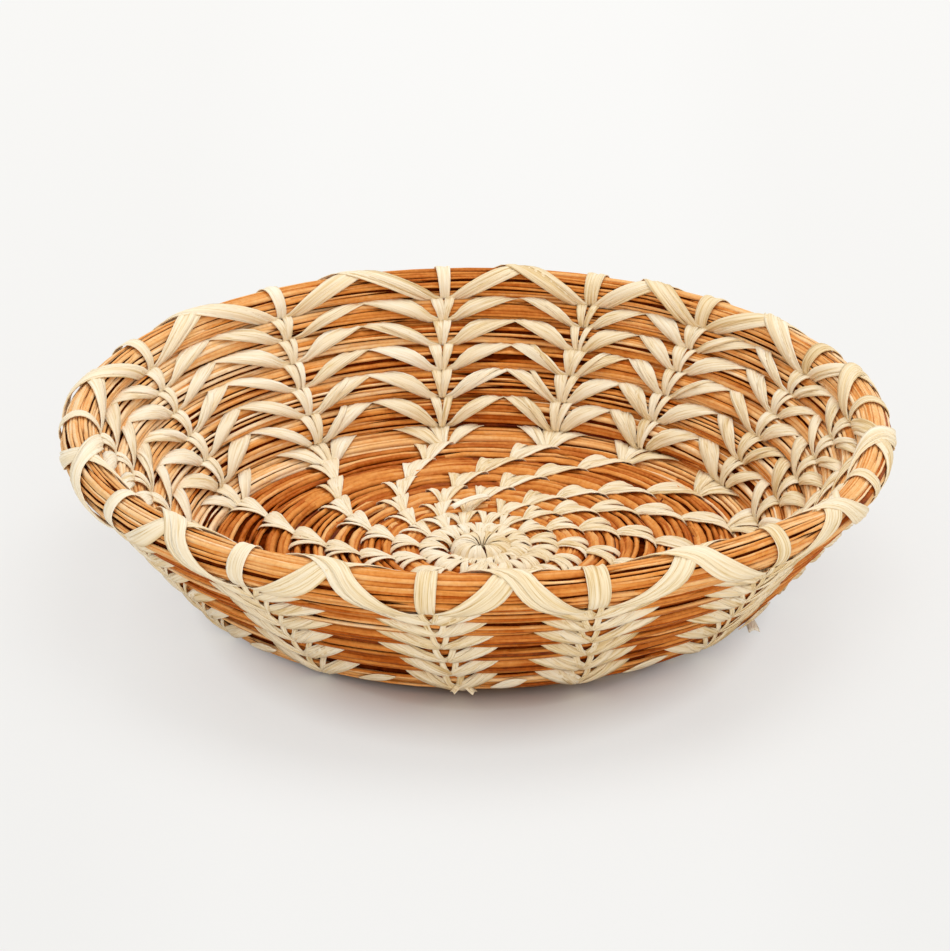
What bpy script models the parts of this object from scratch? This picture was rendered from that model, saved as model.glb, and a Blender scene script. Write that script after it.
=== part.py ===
"""Coiled pine needle basket: one spiral of needle bundles, held turn to turn by pale raffia stitches.

The coil starts at a small bound button, winds out as a flat base, turns up round a tight corner and
rises as a flared wall to a thicker rim. Fourteen spokes of stitches run from the middle to the rim:
each stitch goes round one turn of the coil and passes through the seams on both sides of it.
Sizes here are in millimetres and degrees. The model is made in metres, +Z up, standing on z = 0,
with its origin under the middle of the base.
"""
import math
from collections import namedtuple

import bmesh
import bpy
import numpy as np

MM = 0.001

# Stitches and the clearance they run in
STRAP_THICKNESS = 0.4
STRAP_WIDTH = 3.3
STRAP_CLEARANCE = 0.3
CORNER_STRETCH = 1.3
STRAP_FULL_WIDTH_RADIUS = 17.0
SPOKES = (-18, 7, 27, 52, 72, 96, 124, 154, 182, 212, 237, 263, 285, 312)
WALL_DRIFT = 0.45
BASE_DRIFT = 9.5

# Start button
BUTTON_RADIUS = 7.6
BUTTON_HEIGHT = 7.3
BUTTON_FOOT_RADIUS = 5.2
DIMPLE_RADIUS = 2.4
DIMPLE_DEPTH = 2.6
DIMPLE_FLOOR_SHARE, DIMPLE_FLOOR_RISE = 0.45, 0.15
DIMPLE_LIP_DROP = 0.2
CROWN_INSET = 0.6
SHOULDER_RADIUS_SHARE, SHOULDER_HEIGHT_SHARE = 0.85, 0.86
FOOT_HEIGHT_SHARE = 0.12
BUTTON_STEPS = 24

# Flat base: its rows grow a little wider towards the wall
FIRST_ROW = 2
LAST_BASE_ROW = 8
CORNER_ROW = LAST_BASE_ROW + 1
START_TURN = 1.1
START_RUN = 0.5
FIRST_SEAM_MARGIN = 1.9
BASE_PITCH = 6.7
BASE_PITCH_GROWTH = 0.76
BASE_COIL_THICKNESS = 6.4

# Corner and wall: the rows grow narrower towards the rim
BASE_RADIUS = 76.5
CORNER_RADIUS = 6.0
WALL_ANGLE = 50.8
WALL_PITCH = 9.4
WALL_PITCH_GROWTH = -0.48
WALL_COIL_THICKNESS = 8.6

# Rim
RIM_ROW = 15
RIM_COIL_WIDTH = 8.4
RIM_COIL_THICKNESS = 10.0
RIM_BLEND_TURN = 0.12
RIM_TAPER_ANGLE = 22.0
TIP_SHARE = 0.3
SPIRAL_PHASE = 150.0
ROW_END_SHARE = 0.25
COIL_END_GAP = 0.3
GAP_SAMPLES = 5

# The coil's six-sided section: how much of its width its flat faces take
CREST_SHARE = 0.5
CORNER_CREST_SHARE = 0.25
HEX_HEIGHT = math.sin(math.radians(60.0))
FULL_TURN = 360.0
LEAST_RING_ANGLE = 1.0
ROUND_SHADING_ANGLE = math.radians(40.0)
BLANK_MERGE = 0.0001
TURNED_MERGE = 0.00001

NEEDLE_COLOUR = (0.56, 0.27, 0.09, 1.0)
RAFFIA_COLOUR = (0.82, 0.72, 0.52, 1.0)


Section = namedtuple("Section", "radius height slope half_width half_thickness crest")


def clear_scene():
    for old in list(bpy.data.objects):
        bpy.data.objects.remove(old, do_unlink=True)


def finish(name, colour, roughness):
    material = bpy.data.materials.new(name)
    material.use_nodes = True
    shader = material.node_tree.nodes["Principled BSDF"]
    shader.inputs["Base Color"].default_value = colour
    shader.inputs["Roughness"].default_value = roughness
    shader.inputs["Metallic"].default_value = 0.0
    return material


def needle_finish():
    return finish("pine_needles", NEEDLE_COLOUR, 0.55)


def raffia_finish():
    return finish("raffia", RAFFIA_COLOUR, 0.7)


def smooth_step(share):
    share = min(max(share, 0.0), 1.0)
    return share * share * (3.0 - 2.0 * share)


# The pattern of the spokes and the spiral

def spoke_drift(row):
    """How far a spoke has swung back, against its place at the rim, at this row."""
    wall = WALL_DRIFT * (RIM_ROW + 0.5 - max(row, CORNER_ROW))
    return wall + BASE_DRIFT * max(CORNER_ROW - row, 0.0)


def stitch_azimuth(count):
    """Azimuth of a stitch, which grows by a full turn with each row; parts of a count lie between."""
    per_row = len(SPOKES)
    whole = math.floor(count)

    def at(number):
        row, spoke = divmod(number, per_row)
        return SPOKES[spoke] + FULL_TURN * row + spoke_drift(number / per_row)

    share = count - whole
    return at(whole) * (1.0 - share) + at(whole + 1) * share


def turns(azimuth):
    """Which row of the coil lies at this azimuth, as a running number."""
    return (azimuth - SPIRAL_PHASE) / FULL_TURN


def seam(turn):
    """Distance from the middle of the base, along the basket's section, to the seam at this turn."""
    corner_turn = CORNER_ROW - 0.5
    rows = min(turn, corner_turn) - (FIRST_ROW - 0.5)
    distance = BUTTON_RADIUS + FIRST_SEAM_MARGIN + BASE_PITCH * rows + 0.5 * BASE_PITCH_GROWTH * rows ** 2
    rows = max(turn - corner_turn, 0.0)
    return distance + WALL_PITCH * rows + 0.5 * WALL_PITCH_GROWTH * rows ** 2


def seam_gap(turn):
    """The gap between two turns: the stitch, its clearance on both sides, and the spokes' slant."""
    pitch = seam(turn + 0.5) - seam(turn - 0.5)
    drift = spoke_drift(turn - 1.0) - spoke_drift(turn)
    return STRAP_THICKNESS + 2.0 * CORNER_STRETCH * STRAP_CLEARANCE + pitch * drift / FULL_TURN


def coil_floor():
    """Height of the coil's underside: the stitches pass below it and carry the basket."""
    return STRAP_THICKNESS + STRAP_CLEARANCE


def section_line(distance):
    """Radius, height and slope of the coil's middle line at this distance along the section."""
    height = coil_floor() + 0.5 * BASE_COIL_THICKNESS
    if distance <= BASE_RADIUS:
        return distance, height, 0.0
    wall_angle = math.radians(WALL_ANGLE)
    slope = min((distance - BASE_RADIUS) / CORNER_RADIUS, wall_angle)
    straight = distance - BASE_RADIUS - CORNER_RADIUS * slope
    radius = BASE_RADIUS + CORNER_RADIUS * math.sin(slope) + straight * math.cos(slope)
    height += CORNER_RADIUS * (1.0 - math.cos(slope)) + straight * math.sin(slope)
    return radius, height, slope


def row_start(row):
    """Azimuth at which one row of the coil ends and the next begins."""
    return stitch_azimuth(row * len(SPOKES) - ROW_END_SHARE)


def coil_thickness(turn):
    corner = smooth_step(turn - CORNER_ROW)
    thickness = BASE_COIL_THICKNESS + (WALL_COIL_THICKNESS - BASE_COIL_THICKNESS) * corner
    rim = smooth_step((turn - turns(row_start(RIM_ROW))) / RIM_BLEND_TURN)
    return thickness + (RIM_COIL_THICKNESS - thickness) * rim


def crest_share(turn):
    """How much of the coil's width its flat faces take: less in the corner, where turns lean together."""
    lean = section_line(seam(turn + 1.0))[2] - section_line(seam(turn - 1.0))[2]
    return CREST_SHARE + (CORNER_CREST_SHARE - CREST_SHARE) * lean / math.radians(WALL_ANGLE)


def tip_taper(azimuth, turn):
    """How much of its full thickness the coil has near its two thin ends."""
    start = smooth_step((turn - START_TURN) / START_RUN)
    end = smooth_step((row_start(RIM_ROW + 1) - azimuth) / RIM_TAPER_ANGLE)
    return [TIP_SHARE + (1.0 - TIP_SHARE) * share for share in (start, end)]


def ring_corners(section, offset):
    """A ring's reach into the seam, half its flat and its height, an offset away from the coil."""
    crest = section.crest * section.half_width
    run = section.half_width - crest
    slant = math.hypot(run, section.half_thickness)
    side = section.half_width + offset * slant / section.half_thickness
    flat = crest + offset * (slant - run) / section.half_thickness
    return side, flat, section.half_thickness + offset


def coil_section(azimuth):
    """The coil's section between the seams below and above it, with its stitch no lower than the floor."""
    turn = turns(azimuth)
    low = seam(turn - 0.5) + 0.5 * seam_gap(turn - 0.5)
    low = max(low, BUTTON_RADIUS + 0.5 * seam_gap(FIRST_ROW - 0.5))
    high = seam(turn + 0.5) - 0.5 * seam_gap(turn + 0.5)
    rim = smooth_step((turn - turns(row_start(RIM_ROW))) / RIM_BLEND_TURN)
    high += (low + RIM_COIL_WIDTH - high) * rim
    start_taper, end_taper = tip_taper(azimuth, turn)
    high = low + (high - low) * end_taper
    half_thickness = 0.5 * coil_thickness(turn) * start_taper * end_taper
    radius, height, slope = section_line(0.5 * (low + high))
    section = Section(radius, height, slope, 0.5 * (high - low), half_thickness, crest_share(turn))
    flat, crest = ring_corners(section, STRAP_CLEARANCE + STRAP_THICKNESS)[1:]
    sunk = flat * math.sin(slope) + crest * math.cos(slope) - height
    return section._replace(height=height + max(sunk, 0.0))


def place(azimuth, radius, height):
    angle = math.radians(azimuth)
    return radius * math.cos(angle), radius * math.sin(angle), height


def in_section(section, along, up):
    """Radius and height of a point measured from the middle of a section, along it and through it."""
    radius = section.radius + along * math.cos(section.slope) - up * math.sin(section.slope)
    height = section.height + along * math.sin(section.slope) + up * math.cos(section.slope)
    return radius, height


def coil_corner(azimuth, across, out):
    """A corner of the coil: across -1 to 1 between its seams, out -1 to 1 between its faces."""
    section = coil_section(azimuth)
    if abs(out) > 0.5:
        across *= section.crest / CREST_SHARE
    return place(azimuth, *in_section(section, across * section.half_width, out * section.half_thickness))


# Building blocks

def mesh_of(curve):
    """The mesh of a curve, with its loose caps joined on."""
    scratch = bpy.data.objects.new("scratch", curve)
    bpy.context.scene.collection.objects.link(scratch)
    graph = bpy.context.evaluated_depsgraph_get()
    mesh = bpy.data.meshes.new_from_object(scratch.evaluated_get(graph))
    bpy.data.objects.remove(scratch, do_unlink=True)
    bpy.data.curves.remove(curve)
    work = bmesh.new()
    work.from_mesh(mesh)
    bmesh.ops.remove_doubles(work, verts=work.verts, dist=BLANK_MERGE)
    bmesh.ops.recalc_face_normals(work, faces=work.faces)
    work.to_mesh(mesh)
    work.free()
    return mesh


def add_part(collection, name, mesh, material):
    mesh.name = name
    mesh.materials.clear()
    mesh.materials.append(material)
    mesh.shade_smooth()
    mesh.set_sharp_from_angle(angle=ROUND_SHADING_ANGLE)
    part = bpy.data.objects.new(name, mesh)
    collection.objects.link(part)
    return part


def straight_tube(rings):
    """A straight six-sided tube of unit radius along X, with its rings of corners one unit apart."""
    curve = bpy.data.curves.new("tube", "CURVE")
    curve.dimensions = "3D"
    curve.bevel_depth = 1.0
    curve.bevel_resolution = 1
    curve.use_fill_caps = True
    line = curve.splines.new("POLY")
    line.points.add(rings - 1)
    for number in range(rings):
        line.points[number].co = (number, 0.0, 0.0, 1.0)
    return mesh_of(curve)


def coil_azimuths(start, end):
    """The azimuths of a coil's rings of corners: two to a stitch, so each stitch crosses a straight run."""
    count = math.floor((start / FULL_TURN) * len(SPOKES)) - 2 * len(SPOKES)
    rings = [start]
    while True:
        for share in (-ROW_END_SHARE, ROW_END_SHARE):
            azimuth = stitch_azimuth(count + share)
            if start + LEAST_RING_ANGLE < azimuth < end - LEAST_RING_ANGLE:
                rings.append(azimuth)
        count += 1
        if stitch_azimuth(count - 1) > end:
            break
    return rings + [end]


def wind_coil(collection, name, start, end, material):
    """One unbroken tube wound from one azimuth to another."""
    azimuths = coil_azimuths(start, end)
    mesh = straight_tube(len(azimuths))
    for corner in mesh.vertices:
        azimuth = azimuths[round(corner.co.x)]
        corner.co = [value * MM for value in coil_corner(azimuth, corner.co.y, corner.co.z / HEX_HEIGHT)]
    face_out(mesh)
    return add_part(collection, name, mesh, material)


def end_gap_angle(azimuth):
    """Half the gap between two lengths of the coil that meet face to face, as an angle."""
    return math.degrees(0.5 * COIL_END_GAP / coil_section(azimuth).radius)


def coil_outline(azimuth):
    """Points all round the coil's section, an even share of them on each of its sides."""
    corners = ((1, 0), (CREST_SHARE, 1), (-CREST_SHARE, 1), (-1, 0), (-CREST_SHARE, -1), (CREST_SHARE, -1))
    ring = np.array([coil_corner(azimuth, across, out) for across, out in corners])
    shares = np.linspace(0.0, 1.0, GAP_SAMPLES, endpoint=False)[:, None]
    sides = [one * (1.0 - shares) + other * shares for one, other in zip(ring, np.roll(ring, -1, axis=0))]
    return np.concatenate(sides)


def least_gap(start, end):
    """The least gap between neighbouring turns of the coil, between points all over their surfaces."""
    rings = [coil_outline(azimuth) for azimuth in coil_azimuths(start, end)]
    middles = [0.5 * (one + other) for one, other in zip(rings, rings[1:])]
    rings = [ring for pair in zip(rings, middles) for ring in pair]
    turn = 4 * len(SPOKES)
    gaps = []
    for number, ring in enumerate(rings[:-turn - 2]):
        near = np.concatenate(rings[number + turn - 2:number + turn + 3])
        gaps.append(np.linalg.norm(near[None, :] - ring[:, None], axis=2).min())
    return min(gaps)


# A ring of stitch round each turn, joined into a chain along the spoke

def stitch_section(count):
    """The coil's section where a stitch crosses it: the middle of a straight run."""
    ends = [stitch_azimuth(count + share) for share in (-ROW_END_SHARE, ROW_END_SHARE)]
    first, second = [coil_section(azimuth) for azimuth in ends]
    lines = [place(azimuth, *section[:2]) for azimuth, section in zip(ends, (first, second))]
    x, y, height = [0.5 * (one + other) for one, other in zip(*lines)]
    rest = [0.5 * (one + other) for one, other in zip(first[2:], second[2:])]
    return Section(math.hypot(x, y), height, *rest)


def crossing(a, b, c, d):
    """Where the line through a and b crosses the line through c and d."""
    ab, cd, ac = (b[0] - a[0], b[1] - a[1]), (d[0] - c[0], d[1] - c[1]), (c[0] - a[0], c[1] - a[1])
    share = (ac[0] * cd[1] - ac[1] * cd[0]) / (ab[0] * cd[1] - ab[1] * cd[0])
    return a[0] + share * ab[0], a[1] + share * ab[1]


def chain_side(sections, face):
    """The chain's outline over one face of the basket, from its first ring to its last."""
    outline = []
    for number, section in enumerate(sections):
        side, flat, crest = ring_corners(section, STRAP_CLEARANCE + STRAP_THICKNESS)
        first, last = in_section(section, -flat, face * crest), in_section(section, flat, face * crest)
        if number:
            outline.append(crossing(*before, first, in_section(section, -side, 0.0)))
        outline += [first, last]
        before = (last, in_section(section, side, 0.0))
    return outline


def chain_outlines(sections):
    """The outline of a chain of rings in the basket's section, then the hole of each ring."""
    reach = [ring_corners(section, STRAP_CLEARANCE + STRAP_THICKNESS)[0] for section in sections]
    outer = [in_section(sections[0], -reach[0], 0.0)] + chain_side(sections, 1)
    outer += [in_section(sections[-1], reach[-1], 0.0)] + chain_side(sections, -1)[::-1]
    outlines = [outer]
    for section in sections:
        side, flat, crest = ring_corners(section, STRAP_CLEARANCE)
        corners = ((-side, 0.0), (-flat, crest), (flat, crest), (side, 0.0), (flat, -crest), (-flat, -crest))
        outlines.append([in_section(section, along, up) for along, up in corners])
    return outlines


def flat_outline(outlines):
    """A flat plate of unit half thickness from closed outlines, the later ones its holes."""
    curve = bpy.data.curves.new("plate", "CURVE")
    curve.dimensions = "2D"
    curve.fill_mode = "BOTH"
    curve.extrude = 1.0
    for outline in outlines:
        line = curve.splines.new("POLY")
        line.points.add(len(outline) - 1)
        for point, (x, y) in zip(line.points, outline):
            point.co = (x, y, 0.0, 1.0)
        line.use_cyclic_u = True
    return mesh_of(curve)


def sew_spoke(collection, name, spoke, rows, material):
    """The stitches of one spoke over some rows: a chain of rings, bent to follow the spoke's swing."""
    counts = [row * len(SPOKES) + spoke for row in rows]
    sections = [stitch_section(count) for count in counts]
    radii = [section.radius for section in sections]
    azimuths = [stitch_azimuth(count) - FULL_TURN * row for count, row in zip(counts, rows)]
    mesh = flat_outline(chain_outlines(sections))
    for corner in mesh.vertices:
        radius, height, across = corner.co
        width = STRAP_WIDTH * min(1.0, radius / STRAP_FULL_WIDTH_RADIUS)
        azimuth = np.interp(radius, radii, azimuths) + math.degrees(0.5 * across * width / radius)
        corner.co = [value * MM for value in place(azimuth, radius, height)]
    face_out(mesh)
    return add_part(collection, name, mesh, material)


def face_out(mesh):
    work = bmesh.new()
    work.from_mesh(mesh)
    bmesh.ops.recalc_face_normals(work, faces=work.faces)
    work.to_mesh(mesh)
    work.free()


def start_knot(collection, material):
    """The bound start of the coil: a turned button with a dimple above and a flat foot below."""
    crown = 0.5 * (DIMPLE_RADIUS + BUTTON_RADIUS) - CROWN_INSET
    floor = BUTTON_HEIGHT - DIMPLE_DEPTH
    profile = (
        (0.0, floor),
        (DIMPLE_FLOOR_SHARE * DIMPLE_RADIUS, floor + DIMPLE_FLOOR_RISE * DIMPLE_DEPTH),
        (DIMPLE_RADIUS, BUTTON_HEIGHT - DIMPLE_LIP_DROP * DIMPLE_DEPTH),
        (crown, BUTTON_HEIGHT),
        (SHOULDER_RADIUS_SHARE * BUTTON_RADIUS, SHOULDER_HEIGHT_SHARE * BUTTON_HEIGHT),
        (BUTTON_RADIUS, 0.5 * BUTTON_HEIGHT),
        (0.5 * (BUTTON_RADIUS + BUTTON_FOOT_RADIUS), FOOT_HEIGHT_SHARE * BUTTON_HEIGHT),
        (BUTTON_FOOT_RADIUS, 0.0),
        (0.0, 0.0))
    mesh = bpy.data.meshes.new("start_knot")
    work = bmesh.new()
    corners = [work.verts.new((radius * MM, 0.0, height * MM)) for radius, height in profile]
    for one, other in zip(corners, corners[1:]):
        work.edges.new((one, other))
    work.to_mesh(mesh)
    work.free()
    part = add_part(collection, "start_knot", mesh, material)
    turn = part.modifiers.new("turn", "SCREW")
    turn.axis = "Z"
    turn.angle = 2.0 * math.pi
    turn.steps = BUTTON_STEPS
    turn.render_steps = BUTTON_STEPS
    turn.use_merge_vertices = True
    turn.merge_threshold = TURNED_MERGE
    return part


def main():
    clear_scene()
    collection = bpy.data.collections.new("pine_needle_basket")
    bpy.context.scene.collection.children.link(collection)
    needles, raffia = needle_finish(), raffia_finish()

    start_knot(collection, raffia)
    corner, rim, end = row_start(CORNER_ROW), row_start(RIM_ROW), row_start(RIM_ROW + 1)
    start = FULL_TURN * START_TURN + SPIRAL_PHASE
    wind_coil(collection, "base_coil", start, corner - end_gap_angle(corner), needles)
    wind_coil(collection, "wall_coil", corner + end_gap_angle(corner), rim - end_gap_angle(rim), needles)
    wind_coil(collection, "rim_coil", rim + end_gap_angle(rim), end, needles)
    print(f"Least gap between turns of the coil: {least_gap(start, end):.2f} mm")

    base_rows = range(FIRST_ROW, LAST_BASE_ROW)
    wall_rows = range(LAST_BASE_ROW, RIM_ROW + 1)
    for spoke in range(len(SPOKES)):
        sew_spoke(collection, f"base_stitches_{spoke + 1:02d}", spoke, base_rows, raffia)
        sew_spoke(collection, f"wall_stitches_{spoke + 1:02d}", spoke, wall_rows, raffia)


main()
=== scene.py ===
"""Pine needle basket: single needles wound into one coil, and raffia sewn round every turn of it.

Sizes are in millimetres and degrees, and become metres only where a point is placed. A place on the
coil is an azimuth, which grows by a full turn with every row, and a girth share: 0 at the row's inner
seam, 1 at its outer seam along the inside face, 2 back at the inner seam along the outside face, and
negative from the inner seam along that face. Stitch holes are counted along the coil.
"""
import math
import random
from collections import namedtuple

import bmesh
import bpy
import numpy as np
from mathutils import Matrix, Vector


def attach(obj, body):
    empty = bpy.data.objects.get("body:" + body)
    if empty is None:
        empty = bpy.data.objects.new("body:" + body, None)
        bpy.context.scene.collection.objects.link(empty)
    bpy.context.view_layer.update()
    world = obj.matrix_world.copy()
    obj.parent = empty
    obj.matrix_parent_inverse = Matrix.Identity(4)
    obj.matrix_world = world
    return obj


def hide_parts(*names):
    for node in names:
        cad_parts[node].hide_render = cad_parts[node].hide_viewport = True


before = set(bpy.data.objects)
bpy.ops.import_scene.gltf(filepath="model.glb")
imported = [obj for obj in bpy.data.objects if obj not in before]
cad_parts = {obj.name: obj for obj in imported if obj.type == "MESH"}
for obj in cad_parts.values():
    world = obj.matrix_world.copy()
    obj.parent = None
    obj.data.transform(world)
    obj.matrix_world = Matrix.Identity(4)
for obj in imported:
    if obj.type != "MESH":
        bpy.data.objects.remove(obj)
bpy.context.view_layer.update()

MM = 0.001
FULL_TURN = 360.0
SAME_POINT, SAME_TIP_POINT = 0.00001, 0.000001
NEEDLE_SEED, BASE_SEED, WALL_SEED, LOOSE_SEED, KNOT_SEED = 1000, 200, 300, 55, 77

Bundle = namedtuple("Bundle", "radius height slope half_width half_thickness")
Needle = namedtuple("Needle", "points radii looks last")
Leaf = namedtuple("Leaf", "reaches widths slips lift tone")

# The spokes at the rim, and how many degrees they lean for each row further in
SPOKES = (-18, 7, 27, 52, 72, 96, 124, 154, 182, 212, 237, 263, 285, 312)
PER_ROW = len(SPOKES)
WALL_DRIFT = 0.45
BASE_DRIFT = 9.5

# The spiral: needles begin at a turn and reach full thickness after a run, both in turns
SPIRAL_PHASE = 150.0
FIRST_ROW, LAST_BASE_ROW, CORNER_ROW, RIM_ROW = 2, 8, 9, 15
START_TURN, START_RUN = 1.1, 0.5
ROW_END_SHARE = 0.25

# The rows, and how square a bundle's section is: 2 would be an ellipse
ROUNDNESS = 2.3
KNOT_RADIUS = 7.6
FIRST_SEAM = 9.5
BASE_PITCH, BASE_PITCH_GROWTH = 6.7, 0.76
WALL_PITCH, WALL_PITCH_GROWTH = 9.4, -0.48
BASE_THICKNESS, WALL_THICKNESS, RIM_THICKNESS = 6.4, 8.6, 10.2
RIM_WIDTH = 9.3
RIM_BLEND_TURN = 0.12
RIM_TAPER_ANGLE = 22.0
TIP_SHARE = 0.3
COIL_FLOOR = 0.7
BASE_RADIUS, CORNER_RADIUS, WALL_ANGLE = 76.5, 6.0, 50.8

# How far neighbouring rows press together, and the share by which stitches draw a bundle in
PRESS = 0.45
PINCH_REACH = 3.2
BASE_PINCH, WALL_PINCH = 0.3, 0.09

# The least heights of a bundle and of anything laid on it
LOWEST = 0.3
STRIP_FLOOR = 0.15

# Needle sizes: the spacing is round the bundle, and a size multiplies the radii
BASE_NEEDLE_SPACING, WALL_NEEDLE_SPACING, RIM_NEEDLE_SPACING = 1.6, 1.25, 0.92
BASE_NEEDLE_SIZE, WALL_NEEDLE_SIZE, RIM_NEEDLE_SIZE = 1.32, 1.02, 0.86
NEEDLE_RADII = (0.42, 0.52, 0.62, 0.75, 0.95)
NEEDLE_LENGTHS = 70.0, 190.0
NEEDLE_STEP, FEWEST_STEPS = 0.8, 4
TIP_SINK, TIP_TAPER = 0.35, 0.8

# Needle places: overlaps in mm, and the last 4 degrees of the coil take no more needles
NEEDLE_OVERLAPS = 4.0, 14.0
FIRST_OVERLAP = 60.0
PLACE_JITTER = 0.25
END_STAGGERS, NO_MORE_NEEDLES = (0.3, 3.0), 4.0

# How a needle wanders: swing and sway round the bundle, sink below its face, and one in four raised
SWING, RIM_SWING = 0.05, 0.03
MOST_SWAY, SWAY_WAVES = 0.03, 5.0
WALL_SINK, FLAT_SINK = 0.34, 0.2
RAISED = (0.0, 0.0, 0.0, 0.25)

# The bundle's hidden middle, very dark as painted shade in the gaps between needles
CORE_DEPTH, CORE_DEPTH_SHARE = 1.25, 0.6
CORE_STEP, CORE_SIDES = 6.0, 12

# Needle tones: 0 is the darkest brown and 1 the palest
NEEDLE_TONE, LEAST_NEEDLE_TONE = 0.51, 0.25
WALL_TONE_SPREAD, FLAT_TONE_SPREAD = 0.13, 0.08
# Painted shade: a needle is darker for each mm it lies sunk below the bundle's face
SINK_SHADE = 0.32
# Painted light and shade: needles paler at the basket's sides and the rim's back, darker in the rows' seams;
# each region also has a small shift of its own
RIM_TONE, RIM_RIGHT_PAINTED_LIGHT, RIM_LEFT_PAINTED_LIGHT, RIM_BACK_PAINTED_LIGHT = -0.03, 0.28, 0.308, 0.03
INSIDE_TONE, INSIDE_RIGHT_PAINTED_LIGHT, INSIDE_LEFT_PAINTED_LIGHT = -0.01, 0.25, 0.4
OUTSIDE_TONE, BASE_TONE = -0.06, -0.03
WALL_SEAM_SHADE, BASE_SEAM_SHADE = 0.16, 0.4

# Raffia strips: where they start and end, and the foot that each has in the row before
RAFFIA_THICKNESS = 0.22
HOLE_GIRTH, LEAF_END_GIRTH, ARM_END_GIRTH = 0.03, 0.95, 1.0
FOOT_GIRTH, FOOT_LIFT, HUMP = 0.86, 0.3, 0.35
NUDGE = 0.02

# Across a strip, from -0.5 to 0.5: it bows, and has folds, in full where it is at least 3 mm wide
LEAST_LIFT, BOW, LOOSE_CURL = 0.2, 0.22, 0.25
FOLDS, FOLD_PLACE, FOLD_DEPTHS, FOLD_WIDTH = 3, 0.42, (0.08, 0.4), 0.12
FULL_WIDTH = 3.0

# Raffia tones, paler at the left as painted light and darker at the right as painted shade, and a strip's run
# in the fibres' pattern
RAFFIA_TONE, LOOSE_TONE, RAFFIA_TONE_SPREAD = 0.6, 0.55, 0.09
RAFFIA_LEFT_PAINTED_LIGHT, RAFFIA_RIGHT_PAINTED_SHADE = 0.1, -0.08
PATTERN_RUN, PATTERN_REACH = 18.0, 500.0

# Leaves, the long strips: a reach is a share of the way to the next spoke, or of the leaf it splits
LEAF_FOOT_WIDTH, LEAF_OPENS_BY, LEAF_ARCH = 0.9, 0.4, 0.25
INSIDE_SWEEP, OUTSIDE_SWEEP = 0.65, 1.6
CORNER_REACH, INSIDE_REACH, REACH_SPREAD = 0.4, 0.54, 0.03
INSIDE_LEAF_WIDTHS, INSIDE_LEAF_SLIPS = (3.0, 5.2), (0.2, 0.9)
INSIDE_LEAF_LIFT, AHEAD_LEAF_LIFT = 0.45, 0.1
SPLIT_CHANCE = 0.35
INSIDE_SPLIT = Leaf((0.6, 0.85), (1.2, 2.2), (0.2, 1.2), 0.75, 0.0)
OUTSIDE_LEAF = Leaf((0.36, 0.48), (2.8, 4.4), (0.4, 0.8), 0.3, -0.13)
OUTSIDE_SPLIT = Leaf((0.55, 0.85), (1.4, 2.4), (0.6, 1.4), 0.5, -0.1)
CORNER_LEAVES = ((1.0, 0.6, 3.6), (-1.0, 0.3, 3.2))
CORNER_LIFT, CORNER_TONE = 0.35, -0.05

# Arms, the short strips: slips at the hole and at the seam, the width at the seam, and the lift
ARM_ARCH, ARM_FOOT_WIDTH, OUTSIDE_ARM_FOOT_WIDTH = 0.2, 0.6, 0.8
INSIDE_ARMS = (
    ((0.2, 0.7), (1.6, 2.9), (2.6, 4.0), 0.3),
    ((-0.5, 0.1), (-2.2, -1.2), (1.8, 3.0), 0.45))
OUTSIDE_ARM_SLIPS, OUTSIDE_ARM_WIDTHS = ((0.2, 0.5), (1.5, 2.6)), (1.5, 2.2)
OUTSIDE_ARM_LIFT, OUTSIDE_ARM_TONE, OUTSIDE_ARM_OPENS = 0.35, -0.14, (0.2, 0.3)

# Strips over the rim, darker at its front and back as painted shade
RIM_SHADE, RIM_ARCH, RIM_EARLY, RIM_FULLNESS = -0.12, 0.15, 0.05, 0.7
RIM_END_LIFT, RIM_END_SLOPE = 0.6, 5.0
WRAP_NARROW, WRAP_WIDE, WRAP_LIFT = (1.6, 2.2), (4.0, 6.2), 0.42
CROSSING_NARROW, CROSSING_WIDE, CROSSING_SLIP = 1.2, (3.8, 4.6), 0.6
CROSSING_STRANDS, STRAND_LIFT = (-0.32, 0.3), 0.3
UPPER_LIFT, LOWER_LIFT = 0.85, 0.4
END_STEP_ANGLE = 4.0

# Base stitches: each strip's slip and width as shares of the stitch's width, its lift and its point
BASE_FAN = ((1.08, 0.5, 0.3, 0.15), (0.12, 0.52, 0.5, 0.2), (-0.4, 0.55, 0.35, 0.4))
FAN_SLIP_SPREAD, FAN_WIDTH_SPREAD, STITCH_WIDTH_SPREAD = 0.1, (0.85, 1.15), (0.85, 1.12)
STITCH_WIDTH, WIDTH_GROWTH = (4.8, 5.6), 1.5
STITCH_FOOT_WIDTH, FOOT_WIDTH_GROWTH = (1.6, 0.8), 3.0
NO_FOOT_ANGLE, NO_STITCH_ANGLE = 30.0, 15.0
LOW_TIP_STARTS, LOW_TIP_REACHES, LOW_TIP_WIDTHS = (0.26, 0.35), (0.27, 0.33), (2.2, 3.0)
LOW_TIP_GIRTHS, LOW_TIP_END_WIDTH, LOW_TIP_LIFT = (0.5, 0.67), 0.25, 0.35

# Loose ends: three points along each, its width and how much paler it is
LOOSE_ENDS = (
    ((1.4, 28.2, 8.6), (-3.6, 24.2, 10.0), (-8.6, 19.4, 8.8), 2.3, 0.45),
    ((68.0, -34.0, 4.0), (72.6, -38.6, 2.6), (73.6, -44.4, 0.5), 3.0, 0.35),
    ((-5.6, -82.4, 4.6), (-6.4, -84.6, 3.6), (-7.8, -85.6, 2.4), 1.9, 0.0),
    ((-4.6, -82.6, 4.6), (-3.6, -84.8, 3.6), (-1.8, -85.8, 2.4), 2.4, 0.0))

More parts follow.
